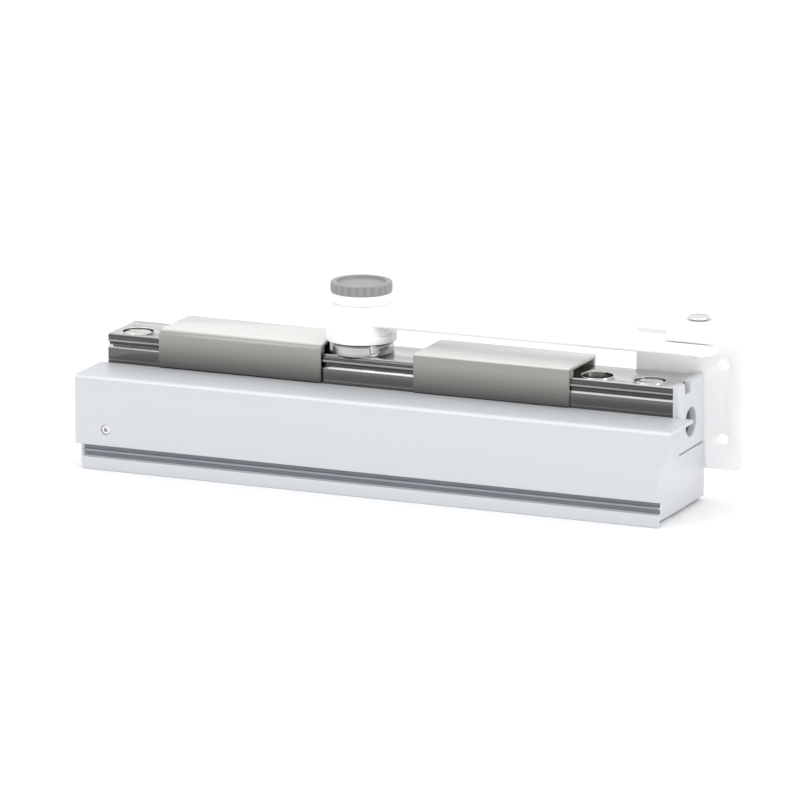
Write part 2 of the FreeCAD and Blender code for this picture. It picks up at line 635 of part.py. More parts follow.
def front_cover():
    """Open extruded shell, with a recessed band along the foot of its face."""
    outer = [(y, z) for y, z in cover_outline(0.0)] + [(COVER_BACK_FOOT, 0.0)]
    inner = [(y, z) for y, z in cover_outline(COVER_T)] + [(COVER_BACK_FOOT, COVER_T)]
    points = [(COVER_LEFT, y, z) for y, z in outer + inner[::-1]]
    shape = prism(points, (COVER_RIGHT - COVER_LEFT, 0, 0))
    top_front = edges_where(shape, lambda m, e: abs(m.y - WALL_Y) < 0.1 and abs(m.z - COVER_TOP) < 0.1)
    shape = shape.makeFillet(1.5, top_front)
    deep = WALL_Y + RECESS_DEPTH
    shape = shape.fuse(box((COVER_LEFT, COVER_RIGHT), (deep - 1.2, deep), COVER_RIB_Z)).removeSplitter()
    clear = WALL_Y - 5
    shape = shape.cut(box((COVER_LEFT, COVER_LIP_LEFT), (clear, 0), (-1.0, RECESS_Z[1])))
    notch_foot, notch_top = COVER_NOTCH_Z
    right, past = LENGTH / 2, COVER_RIGHT + 1
    notch = [(right, clear, -1), (right, clear, notch_foot), (COVER_RIGHT, clear, notch_top)]
    notch += [(past, clear, notch_top), (past, clear, -1)]
    shape = shape.cut(prism(notch, (0, -clear, 0)))
    x, z = COVER_SCREW
    return shape.cut(rod_y(COVER_SCREW_R + 0.2, x, (WALL_Y, WALL_Y + 4), z))


def cover_screw():
    """Set screw without a head, flush with the cover's face."""
    x, z = COVER_SCREW
    face = WALL_Y + 0.5
    head = rod_y(COVER_SCREW_R + 0.15, x, (face, CHEST_FRONT), z)
    shank = rod_y(COVER_SCREW_R, x, (CHEST_FRONT, CHEST_FRONT + COVER_SCREW_DEPTH), z)
    across, depth = COVER_SCREW_SOCKET
    return head.fuse(shank).cut(hexagon_y(across, x, (face, face + depth), z))


def end_cover(x):
    """Plate that closes one end of the cover, stepped round the upper body."""
    foot, shelf = COVER_T + 0.3, COVER_TOP - COVER_T - 0.1
    front = WALL_Y + RECESS_DEPTH + COVER_T + 0.1
    lower = box(x, (front, -PLATE_T - 0.5), (foot, END_CAP_FOOT - 0.2))
    upper = box(x, (front, BODY_FRONT - 0.7), (foot, shelf))
    nose = box(x, (WALL_Y + COVER_T + 0.1, front), (RECESS_Z[1] + COVER_T + 0.1, shelf))
    return lower.fuse([upper, nose]).removeSplitter()


def cover_clips():
    """Two bent steel clips on top of the chest that grip the cover."""
    strip_y = (-56.0, -38.0)
    shapes = []
    for start in COVER_CLIP_X:
        x = (start, start + COVER_CLIP_WIDTH)
        strip = box(x, strip_y, (CHEST_Z[1], CHEST_Z[1] + COVER_CLIP_T))
        tongue = box(x, (strip_y[0], strip_y[0] + COVER_CLIP_T), (CHEST_Z[1], COVER_TOP - COVER_T))
        shapes.append(strip.fuse(tongue).removeSplitter())
    return Part.makeCompound(shapes)


def build():
    os.makedirs("parts", exist_ok=True)
    write("mounting_plate", mounting_plate())
    write("plate_screws", plate_screws())
    write("closer_body", closer_body())
    write("left_sleeve", sleeve(LEFT_SLEEVE_X, LEFT_SLEEVE_ROUND))
    write("right_sleeve", sleeve(RIGHT_SLEEVE_X, RIGHT_SLEEVE_ROUND))
    write("right_end_cap", right_end_cap())
    write("end_plug", end_plug())
    write("spring_adjuster", spring_adjuster())
    write("spring_seat", spring_seat())
    write("main_spring", main_spring())
    write("piston", piston())
    write("piston_rings", piston_rings())
    write("check_valve", check_valve())
    write("spindle", spindle())
    write("upper_bush", bush(UPPER_BUSH_Z))
    write("lower_bush", bush(LOWER_BUSH_Z))
    write("bearing_nut", bearing_nut())
    write("spindle_seal", spindle_seal())
    write("lower_plug", lower_plug())
    write("closing_valve", valve(CLOSING_X, PORT_DEPTH, *PORT_SCREW))
    write("backcheck_valve", valve(BACKCHECK_X, DEEP_PORT_DEPTH, *DEEP_PORT_SCREW))
    write("latching_valve", valve(LATCHING_X, PORT_DEPTH, *PORT_SCREW))
    write("arm", arm())
    write("arm_screw", arm_screw())
    write("hub_cap", hub_cap())
    write("hub_knob", hub_knob())
    write("slide_pin", slide_pin())
    write("slide_block", slide_block())
    write("front_cover", front_cover())
    write("cover_screw", cover_screw())
    write("left_end_cover", end_cover(LEFT_END_X))
    write("right_end_cover", end_cover(RIGHT_END_X))
    write("cover_clips", cover_clips())


build()
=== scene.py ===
import bmesh
import bpy
import math
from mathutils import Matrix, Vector


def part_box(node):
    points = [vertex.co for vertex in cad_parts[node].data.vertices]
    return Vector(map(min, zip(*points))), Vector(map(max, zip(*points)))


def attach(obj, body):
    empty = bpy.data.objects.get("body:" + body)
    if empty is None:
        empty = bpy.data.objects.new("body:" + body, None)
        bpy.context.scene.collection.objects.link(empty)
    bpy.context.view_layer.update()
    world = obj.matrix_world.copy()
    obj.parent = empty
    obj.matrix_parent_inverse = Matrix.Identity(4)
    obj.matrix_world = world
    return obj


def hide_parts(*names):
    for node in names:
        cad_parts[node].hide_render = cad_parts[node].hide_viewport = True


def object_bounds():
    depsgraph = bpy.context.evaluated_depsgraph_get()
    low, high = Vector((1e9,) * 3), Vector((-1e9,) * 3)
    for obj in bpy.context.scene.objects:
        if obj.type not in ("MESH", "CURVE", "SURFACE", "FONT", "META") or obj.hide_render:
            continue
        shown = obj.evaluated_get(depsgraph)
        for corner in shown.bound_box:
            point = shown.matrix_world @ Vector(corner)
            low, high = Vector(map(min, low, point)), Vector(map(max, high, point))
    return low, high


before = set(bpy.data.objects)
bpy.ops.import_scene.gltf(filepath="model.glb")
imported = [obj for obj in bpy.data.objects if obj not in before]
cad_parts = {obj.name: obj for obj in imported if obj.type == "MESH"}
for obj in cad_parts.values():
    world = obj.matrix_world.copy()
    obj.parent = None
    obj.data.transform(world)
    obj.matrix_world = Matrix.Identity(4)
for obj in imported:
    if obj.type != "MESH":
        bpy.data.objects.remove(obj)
cadLow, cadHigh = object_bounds()
mm = 0.001
print("frame loaded:", len(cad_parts), "nodes")


coverLow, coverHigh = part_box("front_cover")

cameraLook = {
    "azimuth": 23.5,      # degrees, towards the spring end
    "elevation": 13.2,
    "distance": 3.5,
    "lens": 332.6,        # millimetres on a 36 mm sensor
    "aim": (156.5, 30.0, 41.4),   # millimetres from the cover's left end, front and foot
}

lightLook = {
    "world": (1.0, 1.0, 1.0),
    "worldStrength": 0.97,
    "keyPower": 6.5,
    "keySize": 0.9,
    "keyPlace": (-0.65, -0.95, 1.35),
    "topPower": 4.0,
    "topSize": 1.4,
    "topPlace": (0.15, 0.25, 1.5),
    "rimPower": 3.5,
    "rimSize": 0.6,
    "rimPlace": (1.25, -0.30, 0.50),
}


def placeCamera(look):
    along, back, up = (v * mm for v in look["aim"])
    aim = Vector((coverLow.x + along, coverLow.y + back, cadLow.z + up))
    a, e = math.radians(look["azimuth"]), math.radians(look["elevation"])
    away = Vector((math.sin(a) * math.cos(e), -math.cos(a) * math.cos(e), math.sin(e)))
    data = bpy.data.cameras.new("viewCamera")
    data.lens = look["lens"]
    data.sensor_width = 36.0
    data.clip_start = 0.05
    data.clip_end = 100.0
    camera = bpy.data.objects.new("viewCamera", data)
    camera.location = aim + away * look["distance"]
    camera.rotation_euler = (-away).to_track_quat("-Z", "Y").to_euler()
    bpy.context.scene.collection.objects.link(camera)
    bpy.context.scene.camera = camera


def placeLight(name, place, size, power):
    data = bpy.data.lights.new(name, "AREA")
    data.energy = power
    data.shape = "DISK"
    data.size = size
    lamp = bpy.data.objects.new(name, data)
    lamp.location = place
    lamp.rotation_euler = (-Vector(place)).to_track_quat("-Z", "Y").to_euler()
    bpy.context.scene.collection.objects.link(lamp)


placeCamera(cameraLook)
for lamp in ("key", "top", "rim"):
    placeLight(lamp + "Light", lightLook[lamp + "Place"], lightLook[lamp + "Size"], lightLook[lamp + "Power"])
world = bpy.data.worlds.new("studio")
world.use_nodes = True
worldShade = world.node_tree.nodes["Background"]
worldShade.inputs["Color"].default_value = (*lightLook["world"], 1.0)
worldShade.inputs["Strength"].default_value = lightLook["worldStrength"]
bpy.context.scene.world = world
bpy.context.scene.view_settings.view_transform = "Standard"
print("camera and light placed")


class Sock:
    # one output socket, so that shader and geometry trees are written as expressions
    def __init__(self, net, out):
        self.net = net
        self.out = out

    def maths(self, operation, other=None, swapped=False):
        first, second = (other, self) if swapped else (self, other)
        values = [first] if second is None else [first, second]
        return self.net.node("ShaderNodeMath", {"operation": operation}, values)

    def __add__(self, other):
        return self.maths("ADD", other)

    def __sub__(self, other):
        return self.maths("SUBTRACT", other)

    def __rsub__(self, other):
        return self.maths("SUBTRACT", other, True)

    def __mul__(self, other):
        return self.maths("MULTIPLY", other)

    def __truediv__(self, other):
        return self.maths("DIVIDE", other)

    def __pow__(self, other):
        return self.maths("POWER", other)

    __radd__ = __add__
    __rmul__ = __mul__


class Net:
    # a shader tree or a geometry tree
    def __init__(self, tree):
        self.tree = tree

    def node(self, kind, settings=None, values=(), out=0):
        made = self.tree.nodes.new(kind)
        for key, value in (settings or {}).items():
            if key == "stops":
                self.setStops(made.color_ramp, value)
            else:
                setattr(made, key, value)
        pairs = values.items() if isinstance(values, dict) else enumerate(values)
        for key, value in pairs:
            self.join(made.inputs[key], value)
        if out is None:
            return made
        return Sock(self, made.outputs[out])

    def join(self, socket, value):
        if isinstance(value, Sock):
            self.tree.links.new(value.out, socket)
        elif value is not None:
            wide = hasattr(socket.default_value, "__len__") and len(socket.default_value) == 4
            socket.default_value = (*value, 1.0) if wide and len(value) == 3 else value

    def setStops(self, ramp, stops):
        while len(ramp.elements) < len(stops):
            ramp.elements.new(0.5)
        for element, (place, level) in zip(ramp.elements, stops):
            element.position = place
            element.color = (level, level, level, 1.0)

    def mix(self, factor, first, second):
        made = self.node("ShaderNodeMix", {"data_type": "RGBA"}, (), None)
        self.join(made.inputs[0], factor)
        self.join(made.inputs[6], first)
        self.join(made.inputs[7], second)
        return Sock(self, made.outputs[2])

    def ramp(self, value, stops):
        return self.node("ShaderNodeValToRGB", {"stops": stops}, {"Fac": value})


class Finish(Net):
    # one Principled material; the patterns read Object coordinates
    def __init__(self, name):
        self.material = bpy.data.materials.new(name)
        self.material.use_nodes = True
        super().__init__(self.material.node_tree)
        self.shader = self.tree.nodes["Principled BSDF"]
        self.place = self.node("ShaderNodeTexCoord", out=3)

    def stretched(self, scale, turn=(0, 0, 0), centre=(0, 0, 0)):
        values = {"Vector": self.place, "Location": [-c * s for c, s in zip(centre, scale)],
                  "Rotation": turn, "Scale": scale}
        return self.node("ShaderNodeMapping", {"vector_type": "POINT"}, values)

    def noise(self, scale, detail=3.0, rough=0.55, stretch=(1, 1, 1), seed=0.0):
        values = {"Vector": self.stretched(stretch), "W": seed, "Scale": scale, "Detail": detail,
                  "Roughness": rough}
        return self.node("ShaderNodeTexNoise", {"noise_dimensions": "4D"}, values)

    def cells(self, scale, feature="F1", stretch=(1, 1, 1)):
        values = {"Vector": self.stretched(stretch), "Scale": scale}
        return self.node("ShaderNodeTexVoronoi", {"feature": feature}, values)

    def bump(self, height, strength, distance):
        values = {"Height": height, "Strength": strength, "Distance": distance}
        self.join(self.shader.inputs["Normal"], self.node("ShaderNodeBump", {}, values))

    def shade(self, values):
        for key, value in values.items():
            self.join(self.shader.inputs[key], value)
        return self.material


def satinExtrusion(name, colour, streak, roughness):
    # anodised extrusion: die lines run along X, broad mottling, a few fine handling scratches
    f = Finish(name)
    lines = f.noise(1.0, 4.0, 0.6, (6, 1500, 1500))
    broad = f.noise(9.0, 2.0, 0.5, (0.6, 1, 1), 3.0)
    scratch = f.ramp(f.noise(1.0, 2.0, 0.4, (70, 900, 160), 8.0), [(0.70, 0.0), (0.76, 1.0)])
    shade = f.mix(lines, [c * (1 - streak) for c in colour], [min(1.0, c * (1 + streak)) for c in colour])
    shade = f.mix(broad * 0.25, shade, [c * 0.93 for c in colour])
    f.bump(lines + scratch * -0.5, 0.10, 0.04 * mm)
    return f.shade({"Base Color": shade, "Metallic": 0.25,
                    "Roughness": roughness + lines * 0.10 + scratch * 0.08})


def polishedDark(name, colour, top, front, lightBands):
    # dark polished metal, mirror streaks along X; the band list paints light and shade on the front face and
    # top by depth below the top, in millimetres, and the first band is the top's own: a lighter painted top,
    # painted highlight lines and painted shade in the grooves
    f = Finish(name)
    lines = f.noise(1.0, 3.0, 0.5, (3, 420, 420))
    cloud = f.noise(14.0, 3.0, 0.5, (0.4, 1, 1), 2.0)
    dull = f.ramp(f.noise(60.0, 4.0, 0.6, (1, 1, 1), 5.0), [(0.58, 0.0), (0.74, 1.0)])
    parts = f.node("ShaderNodeSeparateXYZ", {}, [f.place], None)
    across, height = Sock(f, parts.outputs[1]), Sock(f, parts.outputs[2])
    span = lightBands[-1][0]
    drop = (top - height) / (span * mm)
    paintedTone = f.ramp(drop, [(depth / span, level) for depth, level in lightBands])
    paintedTone = f.node("ShaderNodeVectorMath", {"operation": "MULTIPLY"}, [paintedTone, (1.0, 0.988, 0.955)])
    # the painted light and shade lie on the front face and on the top
    worked = across.maths("LESS_THAN", front + 1.9 * mm).maths("MAXIMUM", drop.maths("LESS_THAN", 0.3 / span))
    shade = f.mix(worked, colour, paintedTone)
    shade = f.mix(lines * 0.22 + cloud * 0.12, shade, [c * 0.30 for c in colour])
    f.bump(lines, 0.08, 0.05 * mm)
    return f.shade({"Base Color": shade, "Metallic": 1.0, "Roughness": 0.12 + lines * 0.07 + dull * 0.10,
                    "Coat Weight": 0.6, "Coat Roughness": 0.10})


def mouldedPlastic(name, colour, grain, roughness, worn, coat, paintedLight=None):
    # moulded plastic: fine spark-eroded grain, soft flow marks along X, rubbed patches; where painted light
    # is given, painted shade darkens it towards its foot and a painted highlight lightens its top
    f = Finish(name)
    fine = f.noise(grain, 2.0, 0.6)
    flow = f.noise(1.0, 3.0, 0.5, (12, 160, 260), 4.0)
    blotch = f.ramp(f.noise(14.0, 3.0, 0.5, (1, 1, 1), 6.0), [(0.35, 0.0), (0.80, 1.0)])
    shade = f.mix(flow, [c * 0.92 for c in colour], [c * 1.08 for c in colour])
    shade = f.mix(blotch * 0.25, shade, worn)
    if paintedLight:
        height = f.node("ShaderNodeSeparateXYZ", {}, [f.place], 2)
        shadeStart, foot = paintedLight["shadeStart"], paintedLight["foot"]
        level = ((shadeStart - height) / (shadeStart - foot)).maths("MAXIMUM", 0.0).maths("MINIMUM", 1.0)
        # painted shade, darker towards the foot
        shade = f.mix(level ** 1.1 * paintedLight["footShade"], shade, [c * 0.12 for c in colour])
        # painted highlight along the top edge
        level = ((height - paintedLight["top"] + 1.2 * mm) / mm).maths("MAXIMUM", 0.0).maths("MINIMUM", 1.0)
        shade = f.mix(level * (0.7 + flow * 0.3), shade, paintedLight["litTop"])
    f.bump(fine + flow * 0.4, 0.22, 0.08 * mm)
    return f.shade({"Base Color": shade, "Roughness": roughness + fine * 0.12 - blotch * 0.05,
                    "Coat Weight": coat, "Coat Roughness": 0.12})


def sprayedPaint(name, colour, peel, flake, roughness):
    # lacquer over metal: orange peel, metallic flakes, faint dust
    f = Finish(name)
    skin = f.noise(peel, 2.0, 0.5)
    spark = f.ramp(f.cells(2600.0), [(0.0, 1.0), (0.35, 0.0)])
    dust = f.noise(22.0, 3.0, 0.6, (1, 1, 1), 9.0)
    shade = f.mix(spark * flake, colour, [min(1.0, c * 1.25) for c in colour])
    shade = f.mix(dust * 0.18, shade, [c * 0.90 for c in colour])
    f.bump(skin, 0.15, 0.10 * mm)
    return f.shade({"Base Color": shade, "Metallic": 0.15, "Roughness": roughness + skin * 0.10 + dust * 0.05,
                    "Coat Weight": 0.25, "Coat Roughness": 0.20})


def turnedSteel(name, colour, roughness, rings, centre):
    # lathe-turned metal: rings about an upright axis through centre, with oil-darkened patches
    f = Finish(name)
    spot = f.stretched((1, 1, 1), (0, 0, 0), centre)
    radial = f.node("ShaderNodeVectorMath", {"operation": "MULTIPLY"}, [spot, (1, 1, 0.35)])
    length = f.node("ShaderNodeVectorMath", {"operation": "LENGTH"}, [radial], 1)
    wave = (length * rings).maths("SINE") * 0.5 + 0.5
    grime = f.ramp(f.noise(55.0, 4.0, 0.6), [(0.45, 0.0), (0.80, 1.0)])
    fine = f.noise(700.0, 2.0, 0.5, (1, 1, 1), 2.0)
    shade = f.mix(wave * 0.5 + fine * 0.5, [c * 0.88 for c in colour], [min(1.0, c * 1.08) for c in colour])
    shade = f.mix(grime * 0.35, shade, [c * 0.55 for c in colour])
    f.bump(wave + fine * 0.5, 0.12, 0.03 * mm)
    return f.shade({"Base Color": shade, "Metallic": 1.0,
                    "Roughness": roughness + fine * 0.08 + grime * 0.15})


def softRubber(name, colour):
    f = Finish(name)
    fine = f.noise(900.0, 3.0, 0.6)
    bloom = f.ramp(f.noise(40.0, 3.0, 0.6, (1, 1, 1), 3.0), [(0.45, 0.0), (0.85, 1.0)])
    shade = f.mix(bloom * 0.5, colour, [c * 1.9 + 0.01 for c in colour])
    f.bump(fine, 0.25, 0.06 * mm)
    return f.shade({"Base Color": shade, "Roughness": 0.62 + fine * 0.15})


hubLow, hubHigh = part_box("hub_cap")
spindleAxis = ((hubLow.x + hubHigh.x) / 2, (hubLow.y + hubHigh.y) / 2, 0.0)
sleeveLow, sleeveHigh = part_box("left_sleeve")
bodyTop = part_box("closer_body")[1].z
bodyFront = sleeveLow.y + 2.0 * mm     # the sleeve's front wall is 2 mm thick
# painted light on the body by depth below its top: a lighter painted top, bright painted highlight lines,
# painted shade in the grooves and just above the cover
bodyLightBands = [(0.0, 0.60), (0.3, 0.60), (0.6, 0.07), (1.7, 0.09), (2.3, 0.12), (2.7, 0.30), (3.5, 0.34),
             (3.8, 0.03), (5.3, 0.03), (5.5, 0.85), (6.7, 0.80), (7.0, 0.14), (12.2, 0.11), (12.5, 0.32),
             (12.9, 0.28), (13.2, 0.08), (14.0, 0.05)]
# painted shade darkening the sleeves towards their foot, and a painted highlight on their top
sleevePaintedLight = {"shadeStart": sleeveHigh.z - 4.0 * mm, "foot": sleeveLow.z, "footShade": 0.95,
                "top": sleeveHigh.z, "litTop": (0.74, 0.73, 0.71)}

finishes = {
    "cover_silver": satinExtrusion("satinSilver", (0.615, 0.634, 0.660), 0.035, 0.38),
    # the cover's recess band and its rib are painted darker than the cover: painted shade in the recess
    "recessShade": satinExtrusion("recessShadow", (0.20, 0.212, 0.235), 0.10, 0.42),
    "recessRib": satinExtrusion("recessRib", (0.29, 0.305, 0.33), 0.06, 0.38),
    "body_dark": polishedDark("polishedDark", (0.150, 0.145, 0.137), bodyTop, bodyFront, bodyLightBands),
    "sleeve_grey": mouldedPlastic("warmGreyMoulding", (0.285, 0.275, 0.253), 1100.0, 0.26,
                                  (0.39, 0.38, 0.35), 0.5, sleevePaintedLight),
    "cap_pale": sprayedPaint("paleSilverPaint", (0.61, 0.625, 0.645), 320.0, 0.30, 0.34),
    "plate_pale": sprayedPaint("palePowderCoat", (0.93, 0.933, 0.938), 520.0, 0.05, 0.50),
    "arm_silver": sprayedPaint("armLacquer", (0.90, 0.905, 0.915), 260.0, 0.35, 0.30),
    "knob_grey": mouldedPlastic("greyMoulding", (0.255, 0.255, 0.260), 900.0, 0.36, (0.36, 0.36, 0.365), 0.2),
    "steel": turnedSteel("machinedSteel", (0.56, 0.56, 0.565), 0.26, 9000.0, spindleAxis),
    "bright_screw": turnedSteel("brightNickel", (0.84, 0.83, 0.815), 0.16, 14000.0, spindleAxis),
    "bronze": turnedSteel("sinteredBronze", (0.60, 0.40, 0.20), 0.34, 5000.0, spindleAxis),
    "spring_steel": turnedSteel("springSteel", (0.26, 0.26, 0.275), 0.30, 3000.0, spindleAxis),
    "seal_rubber": softRubber("nitrileRubber", (0.018, 0.018, 0.019)),
    "slide_white": mouldedPlastic("whiteAcetal", (0.86, 0.86, 0.84), 800.0, 0.34, (0.80, 0.79, 0.77), 0.2),
}
print("finishes made:", len(finishes))


def shaded(mesh):
    mesh.polygons.foreach_set("use_smooth", [True] * len(mesh.polygons))
    mesh.set_sharp_from_angle(angle=math.radians(38.0))


def baked(obj, name):
    # the evaluated object as a plain mesh object, and the working object is removed
    bpy.context.view_layer.update()
    evaluated = obj.evaluated_get(bpy.context.evaluated_depsgraph_get())
    mesh = bpy.data.meshes.new_from_object(evaluated)
    mesh.name = name
    old = obj.data
    bpy.data.objects.remove(obj)
    bpy.data.meshes.remove(old)
    piece = bpy.data.objects.new(name, mesh)
    bpy.context.scene.collection.objects.link(piece)
    return piece


def softCopy(node, name, edge, segments):
    # a merged copy of a CAD node with its sharp edges rounded
    bm = bmesh.new()
    bm.from_mesh(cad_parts[node].data)
    bmesh.ops.remove_doubles(bm, verts=bm.verts, dist=0.002 * mm)
    bmesh.ops.dissolve_limit(bm, angle_limit=math.radians(0.6), verts=bm.verts, edges=bm.edges)
    mesh = bpy.data.meshes.new(name)
    bm.to_mesh(mesh)
    bm.free()
    work = bpy.data.objects.new(name + "Work", mesh)
    bpy.context.scene.collection.objects.link(work)
    bevel = work.modifiers.new("edges", "BEVEL")
    bevel.width = edge * mm
    bevel.segments = segments
    bevel.limit_method = "ANGLE"
    bevel.angle_limit = math.radians(32.0)
    bevel.use_clamp_overlap = True
    return baked(work, name)


def ridden(piece, body, nodes):
    # shading, body and stand-in for a piece that has its materials
    shaded(piece.data)
    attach(piece, body)
    if nodes:
        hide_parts(*nodes)


def softPiece(node, name, body, slotName, look):
    piece = softCopy(node, name, look["edge"], look["segments"])
    piece.data.materials.clear()
    piece.data.materials.append(finishes[slotName])
    ridden(piece, body, [node])


# pieces that keep the design's own form, with worked edges (millimetres)

bodyLook = {"edge": 0.25, "segments": 2}
softPiece("closer_body", "closerBody", "housing", "body_dark", bodyLook)
plateLook = {"edge": 0.5, "segments": 3}
softPiece("mounting_plate", "mountingPlate", "housing", "plate_pale", plateLook)
leftSleeveLook = {"edge": 0.8, "segments": 3}
softPiece("left_sleeve", "leftSleeve", "housing", "sleeve_grey", leftSleeveLook)
rightSleeveLook = {"edge": 0.4, "segments": 3}
softPiece("right_sleeve", "rightSleeve", "housing", "sleeve_grey", rightSleeveLook)
endCapLook = {"edge": 0.3, "segments": 2}
softPiece("right_end_cap", "springEndCap", "housing", "cap_pale", endCapLook)
endCoverLook = {"edge": 0.4, "segments": 2}
softPiece("left_end_cover", "leftEndCover", "housing", "cap_pale", endCoverLook)
softPiece("right_end_cover", "rightEndCover", "housing", "cap_pale", endCoverLook)
armLook = {"edge": 0.4, "segments": 3}
softPiece("arm", "swingArm", "spindle_group", "arm_silver", armLook)
hubLook = {"edge": 0.3, "segments": 2}
softPiece("hub_cap", "hubCap", "spindle_group", "arm_silver", hubLook)
nutLook = {"edge": 0.25, "segments": 2}
softPiece("bearing_nut", "bearingNut", "housing", "steel", nutLook)
blockLook = {"edge": 0.7, "segments": 3}
softPiece("slide_block", "slideBlock", "slide", "slide_white", blockLook)
pinLook = {"edge": 0.3, "segments": 2}
softPiece("slide_pin", "slidePin", "spindle_group", "bright_screw", pinLook)
valveLook = {"edge": 0.12, "segments": 2}
for valveName in ("closing", "latching", "backcheck"):
    softPiece(valveName + "_valve", valveName + "Valve", valveName + "_screw", "bright_screw", valveLook)
screwLook = {"edge": 0.15, "segments": 2}
softPiece("cover_screw", "coverScrew", "housing", "bright_screw", screwLook)
softPiece("plate_screws", "plateScrews", "housing", "steel", screwLook)
softPiece("spring_adjuster", "springAdjuster", "adjuster", "steel", screwLook)
softPiece("lower_plug", "lowerPlug", "housing", "steel", screwLook)
print("worked edges done")


class Growth(Net):
    # a geometry tree with named inputs, closed by Realize Instances and Set Material
    def __init__(self, name, inputs):
        tree = bpy.data.node_groups.new(name, "GeometryNodeTree")
        super().__init__(tree)
        tree.interface.new_socket("Geometry", in_out="INPUT", socket_type="NodeSocketGeometry")
        self.labels = {}
        for label, value in inputs.items():
            kind = "NodeSocketInt" if isinstance(value, int) else "NodeSocketFloat"
            socket = tree.interface.new_socket(label, in_out="INPUT", socket_type=kind)
            self.labels[label] = (socket.identifier, value)
        tree.interface.new_socket("Geometry", in_out="OUTPUT", socket_type="NodeSocketGeometry")
        self.source = tree.nodes.new("NodeGroupInput")

    def given(self, label):
        return Sock(self, self.source.outputs[label])

    def vector(self, x=0.0, y=0.0, z=0.0):
        return self.node("ShaderNodeCombineXYZ", {}, [x, y, z])

    def apart(self):
        parts = self.node("ShaderNodeSeparateXYZ", {}, [self.node("GeometryNodeInputPosition")], None)
        return [Sock(self, out) for out in parts.outputs]

    def block(self, size, place):
        cube = self.node("GeometryNodeMeshCube", {}, {"Size": self.vector(*size)})
        return self.node("GeometryNodeTransform", {}, {"Geometry": cube, "Translation": self.vector(*place)})

    def circle(self, radius, points):
        return self.node("GeometryNodeCurvePrimitiveCircle", {"mode": "RADIUS"},
                         {"Resolution": points, "Radius": radius})

    def together(self, *shapes):
        made = self.node("GeometryNodeJoinGeometry", {}, (), None)
        for shape in shapes:
            self.join(made.inputs[0], shape)
        return Sock(self, made.outputs[0])

    def close(self, shape, key, painted=()):
        shape = self.node("GeometryNodeRealizeInstances", {}, {"Geometry": shape})
        shape = self.node("GeometryNodeSetMaterial", {}, {"Geometry": shape, "Material": finishes[key]})
        for where, other in painted:
            shape = self.node("GeometryNodeSetMaterial", {},
                              {"Geometry": shape, "Selection": where, "Material": finishes[other]})
        sink = self.tree.nodes.new("NodeGroupOutput")
        self.tree.links.new(shape.out, sink.inputs[0])

    def grow(self, mesh, name):
        # runs the tree on a mesh and returns the plain result
        work = bpy.data.objects.new(name + "Work", mesh)
        bpy.context.scene.collection.objects.link(work)
        modifier = work.modifiers.new("tree", "NODES")
        modifier.node_group = self.tree
        for identifier, value in self.labels.values():
            modifier[identifier] = value
        return baked(work, name)


def wireLoop(points, name):
    mesh = bpy.data.meshes.new(name)
    count = len(points)
    mesh.from_pydata([(x, y, 0.0) for x, y in points], [(k, (k + 1) % count) for k in range(count)], [])
    return mesh


# front cover: one filleted outline carried along X, with its stepped ends cut

coverShape = {
    "wall": 1.6,
    "recessLow": 6.0,
    "recessHigh": 12.0,
    "recessDepth": 2.5,
    "ribLow": 8.4,
    "ribHigh": 9.6,
    "ribDepth": 1.2,
    "footReturn": 17.0,
    "cornerRadius": 0.45,
    "topRadius": 2.2,
    "lipStep": 3.6,       # the lip starts this far inside the left end
    "rightOverhang": 5.5,  # the upper part runs this far past the lip at the right end
    "notchTop": (28.0, 34.0),  # height of the slanted cut at the lip and at the far end
    "screwRoom": 0.25,
}


def coverOutline(s):
    front, back, foot, top = coverLow.y / mm, coverHigh.y / mm, coverLow.z / mm, coverHigh.z / mm
    deep, wall = front + s["recessDepth"], s["wall"]
    low, high = foot + s["recessLow"], foot + s["recessHigh"]
    ribLow, ribHigh, ribFace = foot + s["ribLow"], foot + s["ribHigh"], deep - s["ribDepth"]
    heel = front + s["footReturn"]
    outside = [(back, top), (front, top), (front, high), (deep, high), (deep, ribHigh), (ribFace, ribHigh),
               (ribFace, ribLow), (deep, ribLow), (deep, low), (front, low), (front, foot), (heel, foot)]
    inside = [(back, top - wall), (front + wall, top - wall), (front + wall, high + wall),
              (deep + wall, high + wall), (deep + wall, low - wall), (front + wall, low - wall),
              (front + wall, foot + wall), (heel, foot + wall)]
    return [(y * mm, z * mm) for y, z in outside + inside[::-1]]


